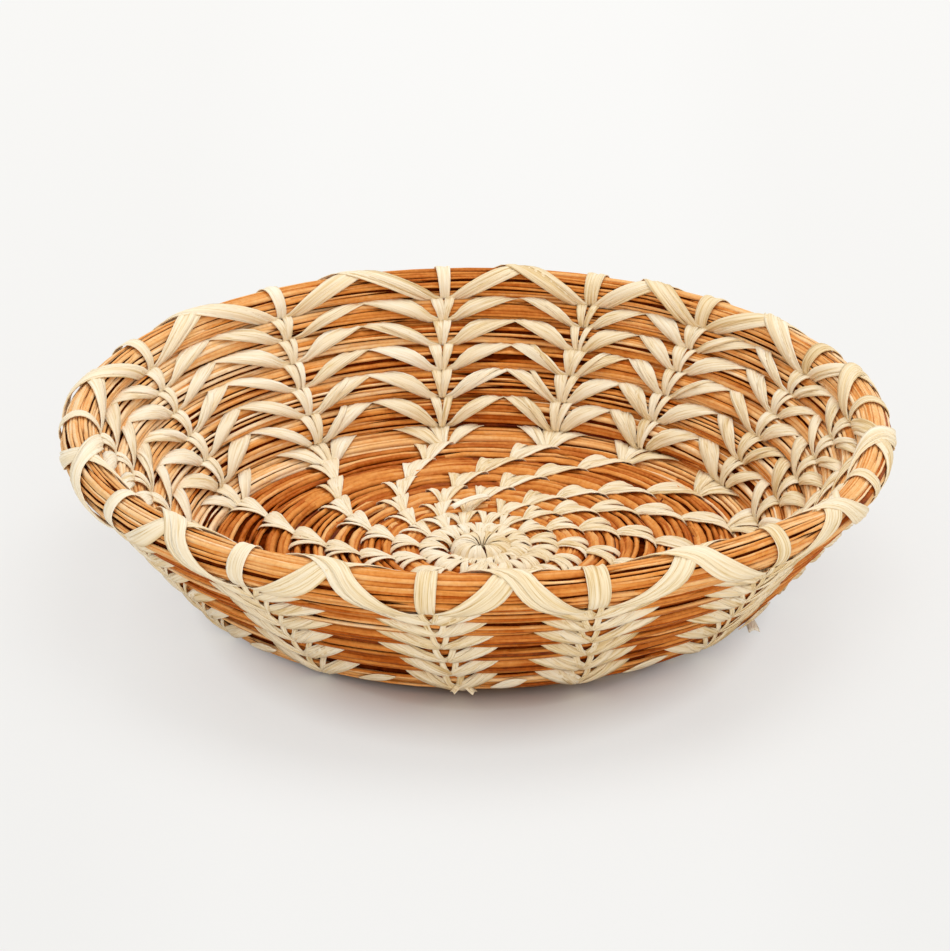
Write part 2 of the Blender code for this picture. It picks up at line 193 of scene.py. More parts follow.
# The knot
KNOT_RING = Bundle(4.7, 3.9, 0.0, 3.7, 3.3)
KNOT_WRAPS, KNOT_WRAP_JITTER, KNOT_WRAP_SWINGS = 18, 0.3, (8.0, 34.0)
KNOT_WRAP_WIDTHS, KNOT_WRAP_FOOT, KNOT_WRAP_OPENS_BY = (2.2, 3.2), 0.7, 0.45
KNOT_WRAP_GIRTHS, KNOT_WRAP_RISES, KNOT_WRAP_TONES = (0.1, 1.9), (0.15, 0.5), (-0.12, 0.05)
KNOT_WRAP_LIFT, KNOT_WRAP_BELLY, KNOT_WRAP_SET = 0.05, 1.6, 0.75
KNOT_DEPTH, KNOT_SIDES, KNOT_STEPS = 0.3, 16, 36

# Colours as they look on screen, 0 to 255, at their places from dark to pale
NEEDLE_BROWNS = (
    (0.0, (92, 26, 0)), (0.25, (182, 90, 16)), (0.5, (226, 147, 68)), (0.75, (242, 190, 126)),
    (1.0, (250, 223, 184)))
# The inner needles' very dark browns are painted shade between the needles
INNER_SHADE_BROWNS = ((0.3, (60, 14, 0)), (0.7, (108, 40, 4)))
RAFFIA_CREAMS = (
    (0.0, (190, 149, 88)), (0.3, (226, 197, 144)), (0.55, (242, 222, 185)), (1.0, (251, 240, 217)))

# Studio: lengths in metres, angles in degrees
TABLE_SIZE, TABLE_GAP = 6.0, 0.0002
# The table's glow is painted light: stronger towards the back and at the sides, where it lifts the basket's
# shadow
TABLE_DEPTH, TABLE_BRIGHTNESS = (-0.22, 0.5), (0.975, 1.05)
TABLE_SIDES, TABLE_GLOW = (0.06, 0.1), (0.63, 0.8)
OVAL_SHIFT, OVAL_SCALE = (0.0, 0.012, 0.0), (1.3, 1.0, 1.0)
# Edges of the glow and of the dark warm brown round the basket's foot, a painted contact shadow
GLOW_EDGE, PAINTED_SHADOW_EDGE = (0.077, 0.104), (0.066, 0.079)
GLOW_COLOUR = (0.89, 0.88, 0.86, 1.0)
# Table colours: dark warm brown round the basket's foot, a painted contact shadow, and pale further out
PAINTED_SHADOW_TABLE, PALE_TABLE = (0.42, 0.3, 0.22, 1.0), (0.81, 0.81, 0.8, 1.0)
ROOM_COLOUR, ROOM_LIGHT = (1.0, 1.0, 1.0, 1.0), 0.85
LAMPS = (("key", (0.25, 0.55, 1.5), 1.2, 10.5), ("fill", (0.2, -1.6, 0.45), 1.0, 6.5))
SENSOR_WIDTH, LENS = 36.0, 188.9
CAMERA_DISTANCE, CAMERA_ELEVATION = 1.3891, 24.69
CAMERA_TILT, CAMERA_TURN = 66.34, 0.088


# The coil

def smooth_step(share):
    """A share from 0 to 1 that starts and ends gently."""
    share = min(max(share, 0.0), 1.0)
    return share * share * (3.0 - 2.0 * share)


def mix(one, other, share):
    """The value at a share of the way from one to the other."""
    return one + (other - one) * share


def spoke_drift(row):
    """How many degrees the spokes have leant between the rim and this row."""
    wall = WALL_DRIFT * (RIM_ROW + 0.5 - max(row, CORNER_ROW))
    return wall + BASE_DRIFT * max(CORNER_ROW - row, 0.0)


def stitch_azimuth(count):
    """Azimuth of a stitch hole, counted along the coil; parts of a count lie between two spokes."""
    whole = math.floor(count)

    def at(number):
        row, spoke = divmod(number, PER_ROW)
        return SPOKES[spoke] + FULL_TURN * row + spoke_drift(number / PER_ROW)

    return mix(at(whole), at(whole + 1), count - whole)


def turns(azimuth):
    """Turns of the spiral up to this azimuth."""
    return (azimuth - SPIRAL_PHASE) / FULL_TURN


def seam(turn):
    """Distance along the basket's section from its middle to the seam at this turn."""
    corner_turn = CORNER_ROW - 0.5
    rows = min(turn, corner_turn) - (FIRST_ROW - 0.5)
    distance = FIRST_SEAM + BASE_PITCH * rows + 0.5 * BASE_PITCH_GROWTH * rows ** 2
    rows = max(turn - corner_turn, 0.0)
    return distance + WALL_PITCH * rows + 0.5 * WALL_PITCH_GROWTH * rows ** 2


def section_line(distance):
    """Radius, height and slope of the rows' middle line at a distance along the section."""
    height = COIL_FLOOR + 0.5 * BASE_THICKNESS
    if distance <= BASE_RADIUS:
        return distance, height, 0.0
    slope = min((distance - BASE_RADIUS) / CORNER_RADIUS, math.radians(WALL_ANGLE))
    straight = distance - BASE_RADIUS - CORNER_RADIUS * slope
    radius = BASE_RADIUS + CORNER_RADIUS * math.sin(slope) + straight * math.cos(slope)
    height += CORNER_RADIUS * (1.0 - math.cos(slope)) + straight * math.sin(slope)
    return radius, height, slope


def row_start(row):
    """Azimuth where a row begins, a little before its first stitch hole."""
    return stitch_azimuth(row * PER_ROW - ROW_END_SHARE)


def row_thickness(turn):
    """The bundle's thickness at this turn, without the coil's tips and the stitches' pinch."""
    thickness = mix(BASE_THICKNESS, WALL_THICKNESS, smooth_step(turn - CORNER_ROW + 0.5))
    return mix(thickness, RIM_THICKNESS, rim_share(turn))


def rim_share(turn):
    """How far the bundle has grown into the rim's, from 0 to 1."""
    return smooth_step((turn - turns(row_start(RIM_ROW))) / RIM_BLEND_TURN)


COIL_START = SPIRAL_PHASE + FULL_TURN * START_TURN
COIL_END = row_start(RIM_ROW + 1)
CROSSINGS = np.array([
    0.5 * (stitch_azimuth(count) + stitch_azimuth(count + PER_ROW) - FULL_TURN)
    for count in range(PER_ROW, PER_ROW * (RIM_ROW + 2))])


def pinch(azimuth, radius):
    """How much the stitches draw the bundle in here: 1 under a stitch, 0 between two."""
    away = np.abs(CROSSINGS - azimuth).min() * math.radians(1.0) * radius
    return math.exp(-(away / PINCH_REACH) ** 2)


def lean(slope, half_width, half_thickness):
    """How far a bundle's rounded section reaches below its middle."""
    power = ROUNDNESS / (ROUNDNESS - 1.0)
    sides = (half_width * math.sin(slope)) ** power + (half_thickness * math.cos(slope)) ** power
    return sides ** (1.0 / power)


def bundle(azimuth):
    """The needle bundle's section here."""
    turn = turns(azimuth)
    low, high = max(seam(turn - 0.5), KNOT_RADIUS), seam(turn + 0.5)
    high = mix(high, low + RIM_WIDTH, rim_share(turn))
    start = mix(TIP_SHARE, 1.0, smooth_step((turn - START_TURN) / START_RUN))
    end = mix(TIP_SHARE, 1.0, smooth_step((COIL_END - azimuth) / RIM_TAPER_ANGLE))
    high = mix(low, high, end)
    radius, height, slope = section_line(0.5 * (low + high))
    drawn = 1.0 - mix(BASE_PINCH, WALL_PINCH, smooth_step(turn - LAST_BASE_ROW)) * pinch(azimuth, radius)
    half_width = 0.5 * (high - low) + PRESS
    half_thickness = 0.5 * row_thickness(turn) * start * end
    sunk = LOWEST + lean(slope, half_width, half_thickness) - height
    return Bundle(radius, height + max(sunk, 0.0), slope, half_width, half_thickness * drawn)


def girth_table(steps=400):
    """Angle round a rounded section of unit size against the share of its half girth."""
    angles = np.linspace(math.pi, 0.0, steps)
    power = 2.0 / ROUNDNESS
    x = np.sign(np.cos(angles)) * np.abs(np.cos(angles)) ** power
    y = np.abs(np.sin(angles)) ** power
    run = np.concatenate([[0.0], np.cumsum(np.hypot(np.diff(x), np.diff(y)))])
    return run / run[-1], angles, run[-1]


GIRTH_SHARES, GIRTH_ANGLES, UNIT_HALF_GIRTH = girth_table()


def half_girth(part):
    """Length round half a bundle's section, in mm."""
    return UNIT_HALF_GIRTH * 0.5 * (part.half_width + part.half_thickness)


def around(girth):
    """Angle round the section at a girth share."""
    girth = (girth + 1.0) % 2.0 - 1.0
    angle = np.interp(abs(girth), GIRTH_SHARES, GIRTH_ANGLES)
    return angle if girth >= 0.0 else -angle


def rise_at(girth):
    """How far a girth share lies across the row, from 0 at its inner seam to 1 at its outer one."""
    return 0.5 + 0.5 * signed_power(math.cos(around(girth)), 2.0 / ROUNDNESS)


def signed_power(value, power):
    """The value's size raised to a power, with its sign kept."""
    return math.copysign(abs(value) ** power, value)


def on_bundle(azimuth, angle, lift=0.0, part=None):
    """A point at a lift above the bundle's face."""
    part = part or bundle(azimuth)
    cos, sin = math.cos(angle), math.sin(angle)
    along = part.half_width * signed_power(cos, 2.0 / ROUNDNESS)
    up = part.half_thickness * signed_power(sin, 2.0 / ROUNDNESS)
    outward = Vector((
        signed_power(cos, 2.0 - 2.0 / ROUNDNESS) / part.half_width,
        signed_power(sin, 2.0 - 2.0 / ROUNDNESS) / part.half_thickness)).normalized()
    along += outward.x * lift
    up += outward.y * lift
    slope_cos, slope_sin = math.cos(part.slope), math.sin(part.slope)
    radius = part.radius + along * slope_cos - up * slope_sin
    height = max(part.height + along * slope_sin + up * slope_cos, STRIP_FLOOR)
    turn = math.radians(azimuth)
    return Vector((radius * math.cos(turn), radius * math.sin(turn), height)) * MM


# Finishes

def paint(red, green, blue):
    """The linear value of a colour given as it looks on screen, 0 to 255."""
    def linear(value):
        value /= 255.0
        return value / 12.92 if value <= 0.04045 else ((value + 0.055) / 1.055) ** 2.4
    return linear(red), linear(green), linear(blue), 1.0


def node(tree, kind, inputs=None, **settings):
    """A new node whose inputs are linked to sockets or set to values."""
    made = tree.nodes.new(kind)
    for name, value in settings.items():
        setattr(made, name, value)
    for name, value in (inputs or {}).items():
        if isinstance(value, bpy.types.NodeSocket):
            tree.links.new(value, made.inputs[name])
        else:
            made.inputs[name].default_value = value
    return made


def ramp(tree, value, stops):
    """The colour at a value, between stops of a position and a colour."""
    made = node(tree, "ShaderNodeValToRGB", {"Fac": value})
    points = made.color_ramp.elements
    while len(points) < len(stops):
        points.new(1.0)
    for point, (position, colour) in zip(points, stops):
        point.position = position
        point.color = colour
    return made.outputs["Color"]


def painted(stops):
    """Stops with their colours made linear."""
    return [(position, paint(*colour)) for position, colour in stops]


def sums(tree, kind, one, other, third=None):
    """The result of a sum on two or three values."""
    inputs = {0: one, 1: other}
    if third is not None:
        inputs[2] = third
    return node(tree, "ShaderNodeMath", inputs, operation=kind).outputs[0]


def fade(tree, value, source, target):
    """The value carried from one range to another, held at both ends."""
    inputs = {
        "Value": value, "From Min": source[0], "From Max": source[1],
        "To Min": target[0], "To Max": target[1]}
    return node(tree, "ShaderNodeMapRange", inputs).outputs[0]


def vary(tree, shade, pattern, strength):
    """The shade made darker and paler by a pattern that runs from 0 to 1."""
    lowered = sums(tree, "SUBTRACT", shade, 0.5 * strength)
    return sums(tree, "MULTIPLY_ADD", pattern, strength, lowered)


def stretched(tree, run, along, across):
    """The place on a strip, drawn out along it or across it."""
    mapping = node(tree, "ShaderNodeMapping", {"Vector": run, "Scale": (along, across, 1.0)})
    return mapping.outputs[0]


def new_finish(name):
    """A new material, its node tree and its shader."""
    material = bpy.data.materials.new(name)
    material.use_nodes = True
    tree = material.node_tree
    return material, tree, tree.nodes["Principled BSDF"]


def needle_finish():
    """Dry pine needles: each its own brown, streaked lengthwise, with a low sheen."""
    material, tree, shader = new_finish("dry_needles")
    run = node(tree, "ShaderNodeAttribute", attribute_name="needle").outputs["Vector"]
    parts = node(tree, "ShaderNodeSeparateXYZ", {0: run})
    along, tone, own = parts.outputs[0], parts.outputs[1], parts.outputs[2]
    place = node(tree, "ShaderNodeTexCoord").outputs["Object"]
    stretch, apart = 0.05, 90.0
    streak_run = node(tree, "ShaderNodeCombineXYZ", {
        0: sums(tree, "MULTIPLY", along, stretch), 1: sums(tree, "MULTIPLY", own, apart)}).outputs[0]
    streak = node(tree, "ShaderNodeTexNoise", {"Vector": streak_run, "Scale": 1.6, "Detail": 3.0})
    grain = node(tree, "ShaderNodeTexNoise", {"Vector": place, "Scale": 900.0, "Detail": 2.0})
    shade = vary(tree, tone, streak.outputs["Fac"], strength=0.6)
    shade = vary(tree, shade, grain.outputs["Fac"], strength=0.24)
    tree.links.new(ramp(tree, shade, painted(NEEDLE_BROWNS)), shader.inputs["Base Color"])
    shader.inputs["Roughness"].default_value = 0.5
    shader.inputs["Specular IOR Level"].default_value = 0.1
    bump = node(tree, "ShaderNodeBump", {
        "Height": grain.outputs["Fac"], "Strength": 0.35, "Distance": 0.0002})
    tree.links.new(bump.outputs[0], shader.inputs["Normal"])
    return material


def core_shade_finish():
    """The needles deep inside a bundle, coloured a very dark brown as painted shade that shows in the gaps
    between the needles above.
    """
    material, tree, shader = new_finish("inner_needles_painted_shade")
    place = node(tree, "ShaderNodeTexCoord").outputs["Object"]
    grain = node(tree, "ShaderNodeTexNoise", {"Vector": place, "Scale": 420.0, "Detail": 3.0})
    colour = ramp(tree, grain.outputs["Fac"], painted(INNER_SHADE_BROWNS))
    tree.links.new(colour, shader.inputs["Base Color"])
    shader.inputs["Roughness"].default_value = 0.8
    shader.inputs["Specular IOR Level"].default_value = 0.0
    return material


def raffia_finish():
    """Flat cream raffia: fine fibres along the strip, a few creases darkened as painted shade, each strip its
    own tone.
    """
    material, tree, shader = new_finish("cream_raffia")
    run = node(tree, "ShaderNodeUVMap", uv_map="strip").outputs["UV"]
    tone = node(tree, "ShaderNodeAttribute", attribute_name="tone").outputs["Fac"]
    fibres = node(tree, "ShaderNodeTexNoise", {
        "Vector": stretched(tree, run, 0.05, 1.0), "Scale": 2.2, "Detail": 4.0, "Roughness": 0.65})
    folds = node(tree, "ShaderNodeTexNoise", {
        "Vector": stretched(tree, run, 0.06, 0.75), "Scale": 1.3, "Detail": 1.0})
    blotches = node(tree, "ShaderNodeTexNoise", {
        "Vector": stretched(tree, run, 0.12, 0.5), "Scale": 1.2, "Detail": 2.0})
    # A crease runs where the folds' pattern crosses a half: 0 in the crease, 1 away from it; the colour is
    # darkened in it as painted shade
    sharpness, crease_shade, crease_depth, crease_relief = 22.0, 0.22, 0.17, 0.5
    away = sums(tree, "ABSOLUTE", sums(tree, "SUBTRACT", folds.outputs["Fac"], 0.5), 0.0)
    crease = sums(tree, "MINIMUM", sums(tree, "MULTIPLY", away, sharpness), 1.0)
    shade = vary(tree, tone, fibres.outputs["Fac"], strength=1.3)
    shade = vary(tree, shade, blotches.outputs["Fac"], strength=0.5)
    shade = sums(tree, "MULTIPLY_ADD", crease, crease_shade, sums(tree, "SUBTRACT", shade, crease_depth))
    relief = sums(tree, "MULTIPLY_ADD", crease, crease_relief, fibres.outputs["Fac"])
    tree.links.new(ramp(tree, shade, painted(RAFFIA_CREAMS)), shader.inputs["Base Color"])
    shader.inputs["Roughness"].default_value = 0.6
    shader.inputs["Specular IOR Level"].default_value = 0.3
    bump = node(tree, "ShaderNodeBump", {
        "Height": relief, "Strength": 0.6, "Distance": 0.0003})
    tree.links.new(bump.outputs[0], shader.inputs["Normal"])
    return material


def as_mesh(work, name):
    """The finished work as a mesh."""
    mesh = bpy.data.meshes.new(name)
    work.to_mesh(mesh)
    work.free()
    return mesh


def add_piece(name, mesh, material, slot, *nodes):
    """Puts a finished mesh in the scene as one piece, in place of the nodes named."""
    mesh.name = name
    mesh.materials.clear()
    mesh.materials.append(material)
    mesh.shade_smooth()
    piece = bpy.data.objects.new(name, mesh)
    bpy.context.scene.collection.objects.link(piece)
    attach(piece, "root")
    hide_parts(*nodes)
    return piece


# Needles

def painted_light_and_shade(azimuth, girth, row):
    """How much paler the needles are here: painted light makes them paler at the basket's sides and the rim's
    back, and painted shade makes them darker in the rows' seams.
    """
    aside, behind = math.cos(math.radians(azimuth)), math.sin(math.radians(azimuth))
    if row == RIM_ROW:
        return max(RIM_RIGHT_PAINTED_LIGHT * aside, -RIM_LEFT_PAINTED_LIGHT * aside) + RIM_TONE + RIM_BACK_PAINTED_LIGHT * behind
    in_seam = abs(2.0 * rise_at(girth) - 1.0) ** 4
    if row < CORNER_ROW:
        return BASE_TONE - BASE_SEAM_SHADE * in_seam
    if girth > 0.0:
        paler = max(INSIDE_RIGHT_PAINTED_LIGHT * aside, -INSIDE_LEFT_PAINTED_LIGHT * aside) + INSIDE_TONE
    else:
        paler = OUTSIDE_TONE
    return paler - WALL_SEAM_SHADE * in_seam


def wind_needle(rng, start, end, girth, size, row):
    """One needle along the coil: at each of its points a radius, and its run, tone and own number."""
    radius = bundle(start).radius
    thick = size * rng.choice(NEEDLE_RADII)
    length = rng.uniform(*NEEDLE_LENGTHS)
    last = min(start + math.degrees(length / radius), end, COIL_END - rng.uniform(*END_STAGGERS))
    steps = max(FEWEST_STEPS, round(math.radians(last - start) * math.sqrt(radius) / NEEDLE_STEP))
    swing = rng.gauss(0.0, RIM_SWING if row == RIM_ROW else SWING)
    sway, phase = rng.uniform(0.0, MOST_SWAY), rng.uniform(0.0, math.tau)
    on_wall = CORNER_ROW <= row < RIM_ROW
    depth = -thick - abs(rng.gauss(0.0, WALL_SINK if on_wall else FLAT_SINK))
    if row > FIRST_ROW + 1:
        depth += rng.choice(RAISED)
    tone = max(rng.gauss(NEEDLE_TONE, WALL_TONE_SPREAD if on_wall else FLAT_TONE_SPREAD), LEAST_NEEDLE_TONE)
    # Painted shade: the deeper a needle is sunk, the darker it is
    tone -= SINK_SHADE * min(-depth - thick, 1.0)
    own = rng.random()
    needle = Needle([], [], [], last)
    for number in range(steps + 1):
        share = number / steps
        azimuth = mix(start, last, share)
        from_tip = min(number, steps - number)
        turn = girth + swing * (share - 0.5) * 2.0 + sway * math.sin(phase + SWAY_WAVES * share)
        lift = depth if from_tip else depth - TIP_SINK
        # Painted light and shade, by where the needle lies on the basket
        paled = tone + painted_light_and_shade(azimuth, girth, row)
        needle.points.append(on_bundle(azimuth, around(turn), lift))
        needle.radii.append(thick * (0.0, TIP_TAPER, 1.0)[min(from_tip, 2)])
        needle.looks.append((share * length, min(max(paled, 0.0), 1.0), own))
    return needle


def tubes(needles):
    """Round tubes through the needles' points, with a closed tip at each end."""
    curve = bpy.data.curves.new("needles", "CURVE")
    curve.dimensions = "3D"
    curve.bevel_depth = MM
    curve.bevel_resolution = 0
    for needle in needles:
        line = curve.splines.new("POLY")
        line.points.add(len(needle.points) - 1)
        flat = [value for point in needle.points for value in (*point, 1.0)]
        line.points.foreach_set("co", flat)
        line.points.foreach_set("radius", needle.radii)
    scratch = bpy.data.objects.new("scratch", curve)
    bpy.context.scene.collection.objects.link(scratch)
    mesh = bpy.data.meshes.new_from_object(scratch.evaluated_get(bpy.context.evaluated_depsgraph_get()))
    bpy.data.objects.remove(scratch, do_unlink=True)
    bpy.data.curves.remove(curve)
    sides = len(mesh.vertices) // sum(len(needle.points) for needle in needles)
    looks = [value for needle in needles for look in needle.looks for value in look * sides]
    mesh.attributes.new("needle", "FLOAT_VECTOR", "POINT").data.foreach_set("vector", looks)
    close_tips(mesh)
    return mesh


def close_tips(mesh):
    """Merges the ring of points at each needle's end into its tip."""
    work = bmesh.new()
    work.from_mesh(mesh)
    bmesh.ops.remove_doubles(work, verts=work.verts, dist=SAME_TIP_POINT)
    bmesh.ops.recalc_face_normals(work, faces=work.faces)
    work.to_mesh(mesh)
    work.free()


def lay_needles(row, material, node_name):
    """All the needles of one row, end to end with overlaps, in lines round the bundle."""
    rng = random.Random(NEEDLE_SEED + row)
    start, end = max(row_start(row), COIL_START), row_start(row + 1)
    part = bundle(0.5 * (start + end))
    spacing, size = WALL_NEEDLE_SPACING, WALL_NEEDLE_SIZE
    if row < CORNER_ROW:
        spacing, size = BASE_NEEDLE_SPACING, BASE_NEEDLE_SIZE
    elif row == RIM_ROW:
        spacing, size = RIM_NEEDLE_SPACING, RIM_NEEDLE_SIZE
    places = round(2.0 * half_girth(part) / spacing)
    needles = []
    for number in range(places):
        girth = 2.0 * (number + rng.uniform(-PLACE_JITTER, PLACE_JITTER)) / places - 1.0
        azimuth = start - math.degrees(rng.uniform(0.0, FIRST_OVERLAP) / part.radius)
        azimuth = max(azimuth, COIL_START)
        while azimuth < end:
            needle = wind_needle(rng, azimuth, COIL_END, girth, size, row)
            needles.append(needle)
            azimuth = needle.last - math.degrees(rng.uniform(*NEEDLE_OVERLAPS) / part.radius)
            if needle.last > COIL_END - NO_MORE_NEEDLES:
                break
    add_piece(f"needles_row_{row:02d}", tubes(needles), material, "pine_needles", node_name)


def lay_core(material):
    """The hidden middle of the bundle, one tube from the knot to the coil's end."""
    azimuths = np.arange(COIL_START, COIL_END, CORE_STEP)
    work = bmesh.new()
    grid = bmesh.ops.create_grid(work, x_segments=CORE_SIDES, y_segments=len(azimuths) - 1, size=0.5)
    for vert in grid["verts"]:
        number = round((vert.co.y + 0.5) * (len(azimuths) - 1))
        angle = math.tau * (vert.co.x + 0.5)
        part = bundle(azimuths[number])
        depth = min(CORE_DEPTH, CORE_DEPTH_SHARE * part.half_thickness)
        vert.co = on_bundle(azimuths[number], angle, -depth, part)
    bmesh.ops.remove_doubles(work, verts=work.verts, dist=SAME_POINT)
    bmesh.ops.holes_fill(work, edges=[edge for edge in work.edges if edge.is_boundary])
    bmesh.ops.recalc_face_normals(work, faces=work.faces)
    # The very dark inner finish: painted shade in the gaps between needles
    add_piece(
        "inner_needles_painted_shade", as_mesh(work, "core"), material, "pine_needles", "base_coil", "wall_coil",
        "rim_coil")


# Raffia strips

class Strips:
    """The raffia strips of one piece."""

    def __init__(self, seed):
        self.work = bmesh.new()
        self.runs = self.work.loops.layers.uv.new("strip")
        self.tones = self.work.verts.layers.float.new("tone")
        self.rng = random.Random(seed)

    def lay(self, path, width, lift, sides=(-0.5, 0.5), hand=1.0, limit=None,
            long=10, across=6, tone=0.0, section=bundle, feet=(), bridge=0.15):
        """One strip along a path of (azimuth, girth), its width and lift given along it from 0 to 1.

        At an end named in feet it starts in the row before, and bridges the seam between the rows.
        """
        rng = self.rng
        shade = RAFFIA_TONE + tone + rng.gauss(0.0, RAFFIA_TONE_SPREAD)
        aside = math.cos(math.radians(path(0.5)[0]))
        # Painted light at the basket's left, painted shade at its right
        shade += RAFFIA_LEFT_PAINTED_LIGHT * max(-aside, 0.0) + RAFFIA_RIGHT_PAINTED_SHADE * max(aside, 0.0)
        folds = [(rng.uniform(-FOLD_PLACE, FOLD_PLACE), rng.uniform(*FOLD_DEPTHS)) for _ in range(FOLDS)]

        def across_by(share, side):
            return hand * mix(sides[0], sides[1], side + 0.5) * width(share)

        def on_row(share, side, more=0.0):
            azimuth, girth = path(share)
            ahead, behind = path(min(share + NUDGE, 1.0)), path(max(share - NUDGE, 0.0))
            part = section(azimuth)
            run = math.radians(ahead[0] - behind[0]) * part.radius
            climb = (ahead[1] - behind[1]) * half_girth(part)
            length = math.hypot(run, climb) or 1.0
            fullness, offset = min(width(share) / FULL_WIDTH, 1.0), across_by(share, side)
            azimuth += math.degrees(-climb / length * offset / part.radius)
            girth += run / length * offset / half_girth(part)
            if limit is not None:
                girth = min(max(girth, limit[0]), limit[1])
            rise = lift(share) + more
            for at, deep in folds:
                rise -= deep * math.exp(-((side - at) / FOLD_WIDTH) ** 2) * fullness
            rise += BOW * fullness * (1.0 - (2.0 * side) ** 2)
            return on_bundle(azimuth, around(girth), max(rise, LEAST_LIFT), section(azimuth))

        def in_row_before(end, side):
            azimuth, girth = path(end)
            face = 1.0 if 0.0 < girth < 1.0 else -1.0
            azimuth -= FULL_TURN
            part = bundle(azimuth)
            turned = -across_by(end, side) if girth > 0.0 else across_by(end, side)
            azimuth += math.degrees(turned / part.radius)
            return on_bundle(azimuth, around(face * FOOT_GIRTH), FOOT_LIFT, part)

        pattern_place = self.pattern_place()
        grid = bmesh.ops.create_grid(self.work, x_segments=across, y_segments=long, size=0.5)
        places = {}
        for vert in grid["verts"]:
            share, side = vert.co.y + 0.5, vert.co.x
            end = round(share)
            away = abs(share - end) / bridge
            if end in feet and away < 1.0:
                landing = on_row(abs(end - bridge), side)
                hump = on_row(abs(end - bridge), side, HUMP * math.sin(math.pi * away)) - landing
                vert.co = in_row_before(end, side).lerp(landing, away) + hump
            else:
                vert.co = on_row(share, side)
            vert[self.tones] = shade
            places[vert] = (share, side * width(share))
        self.mark(places, pattern_place)

    def lay_loose(self, start, middle, end, wide, tone):
        """A loose strip through three points, in millimetres, lying flat."""
        places = {}
        pattern_place = self.pattern_place()
        start, middle, end = Vector(start), Vector(middle), Vector(end)
        for vert in bmesh.ops.create_grid(self.work, x_segments=6, y_segments=10, size=0.5)["verts"]:
            share, side = vert.co.y + 0.5, vert.co.x
            before, after = start.lerp(middle, share), middle.lerp(end, share)
            across = (after - before).cross(Vector((0.0, 0.0, 1.0))).normalized()
            curl = Vector((0.0, 0.0, LOOSE_CURL * wide * (1.0 - (2.0 * side) ** 2)))
            places[vert] = (share, side * wide)
            vert[self.tones] = LOOSE_TONE + tone
            vert.co = (before.lerp(after, share) + across * side * wide + curl) * MM
        self.mark(places, pattern_place)

    def pattern_place(self):
        """Where a strip starts in the fibres' pattern."""
        return Vector((self.rng.uniform(0.0, PATTERN_REACH), self.rng.uniform(0.0, PATTERN_REACH)))

    def mark(self, places, start):
        """Lays the fibres' pattern along a strip, from each point's share of its length and place across."""
        for face in {face for vert in places for face in vert.link_faces}:
            for loop in face.loops:
                share, side = places[loop.vert]
                loop[self.runs].uv = (start.x + share * PATTERN_RUN, start.y + side)

    def finish(self, name, material, *nodes):
        """Makes one piece of all the strips laid so far."""
        piece = add_piece(name, as_mesh(self.work, name), material, "raffia", *nodes)
        wall = piece.modifiers.new("thickness", "SOLIDIFY")
        wall.thickness = RAFFIA_THICKNESS * MM
        wall.offset = 0.0


def between(count, share, rise, slip=0.0):
    """Azimuth on a row at a share of the way to the next spoke, a rise across it and a slip in mm."""
    azimuth = mix(stitch_azimuth(count + share), stitch_azimuth(count + share + PER_ROW) - FULL_TURN, rise)
    if slip:
        azimuth += math.degrees(slip / bundle(azimuth).radius)
    return azimuth


def face_limit(face):
    """The girth shares of the inside face, 1, or of the outside face, -1."""
    return (0.0, 1.0) if face > 0.0 else (-1.0, 0.0)


def settled(share, lift, arch):
    """A strip's height along it: it arches a little, and ends tight on the needles."""
    return lift * (1.0 - share ** 6) + arch * math.sin(math.pi * share)


def sew_leaf(strips, count, hand, face, reach, breadth, lift, slip=0.0, tone=0.0):
    """A long strip from a hole along one row: its lower edge rises to the seam above."""
    sweep = INSIDE_SWEEP if face > 0.0 else OUTSIDE_SWEEP

    def path(share):
        girth = mix(HOLE_GIRTH, LEAF_END_GIRTH, share)
        rise = rise_at(girth)
        slipped = hand * slip * (1.0 - share)
        return between(count, hand * reach * rise ** sweep, rise, slipped), face * girth

    def width(share):
        return mix(LEAF_FOOT_WIDTH, breadth, smooth_step(share / LEAF_OPENS_BY))

    def height(share):
        return settled(share, lift, LEAF_ARCH)

    strips.lay(
        path, width, height, sides=(0.0, 1.0), hand=hand * face, limit=face_limit(face), long=12,
        across=4, tone=tone, feet=(0,))


def sew_arm(strips, count, face, slips, widths, lift, tone=0.0, feet=(0,), point=0.0, spread=0.6, opens=0.0):
    """A short strip from a hole to the seam above, to one side of the next hole."""
    def path(share):
        girth = mix(HOLE_GIRTH, ARM_END_GIRTH, share)
        rise = rise_at(girth)
        opened = (rise - opens) / (1.0 - opens)
        slip = mix(*slips, smooth_step(opened) if opens else opened)
        return between(count, 0.0, rise, slip), face * girth

    def width(share):
        drawn = 1.0 - point * smooth_step((share - 0.5) / 0.5)
        return mix(widths[0], widths[1], min(share / spread, 1.0)) * drawn

    def height(share):
        return settled(share, lift, ARM_ARCH)

    strips.lay(path, width, height, limit=face_limit(face), long=10, across=4, tone=tone, feet=feet)


def past_the_end(azimuth):
    """The section under a stitch over the rim's tapered end, which takes in the turn it lies on."""
    over, under = bundle(min(azimuth, COIL_END)), bundle(azimuth - FULL_TURN)
    cos, sin = math.cos(under.slope), math.sin(under.slope)
    step = (over.radius - under.radius) / cos
    left = 1.0 - smooth_step((azimuth - COIL_END) / END_STEP_ANGLE)
    share = smooth_step((azimuth - COIL_END + RIM_TAPER_ANGLE) / RIM_TAPER_ANGLE)
    high = mix(under.half_width, max(step + over.half_width, under.half_width), left)
    low = mix(step - over.half_width, -under.half_width, share)
    middle = 0.5 * (low + high)
    thick = mix(over.half_thickness, under.half_thickness, share)
    return Bundle(
        under.radius + middle * cos, under.height + middle * sin, under.slope, 0.5 * (high - low), thick)


